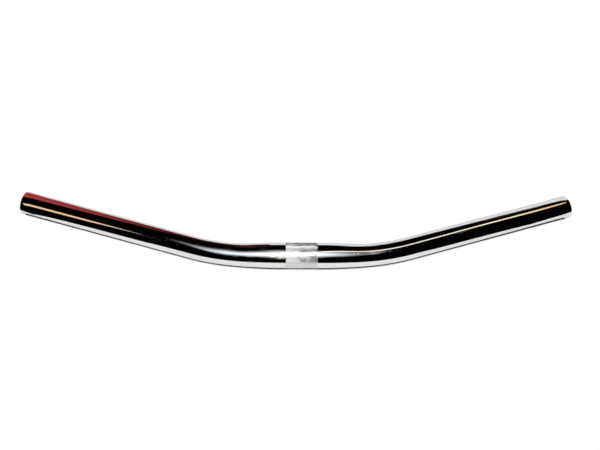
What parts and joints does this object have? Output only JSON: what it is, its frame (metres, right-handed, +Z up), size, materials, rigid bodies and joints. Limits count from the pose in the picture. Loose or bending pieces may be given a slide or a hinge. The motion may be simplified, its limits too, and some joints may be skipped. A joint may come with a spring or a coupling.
{
  "type": "bicycle handlebar",
  "caption": "Chrome-plated steel bicycle handlebar: one hollow swept tube with a knurled stem clamp zone, swaged tapers and straight open-ended grip arms.",
  "frame": {"origin": "middle of the stem clamp zone, on the tube's axis", "axes": "+X along the clamp axis towards the right-hand grip as the rider sits, +Y towards the rider, the way the arms sweep back, +Z up; the tube's centreline lies in the XY plane"},
  "size_m": [0.54, 0.078, 0.0254],
  "materials": {
    "chrome": "polished chrome plate on steel, satin on the knurled band"
  },
  "bodies": {
    "root": {"handlebar": "chrome"}
  },
  "joints": []
}
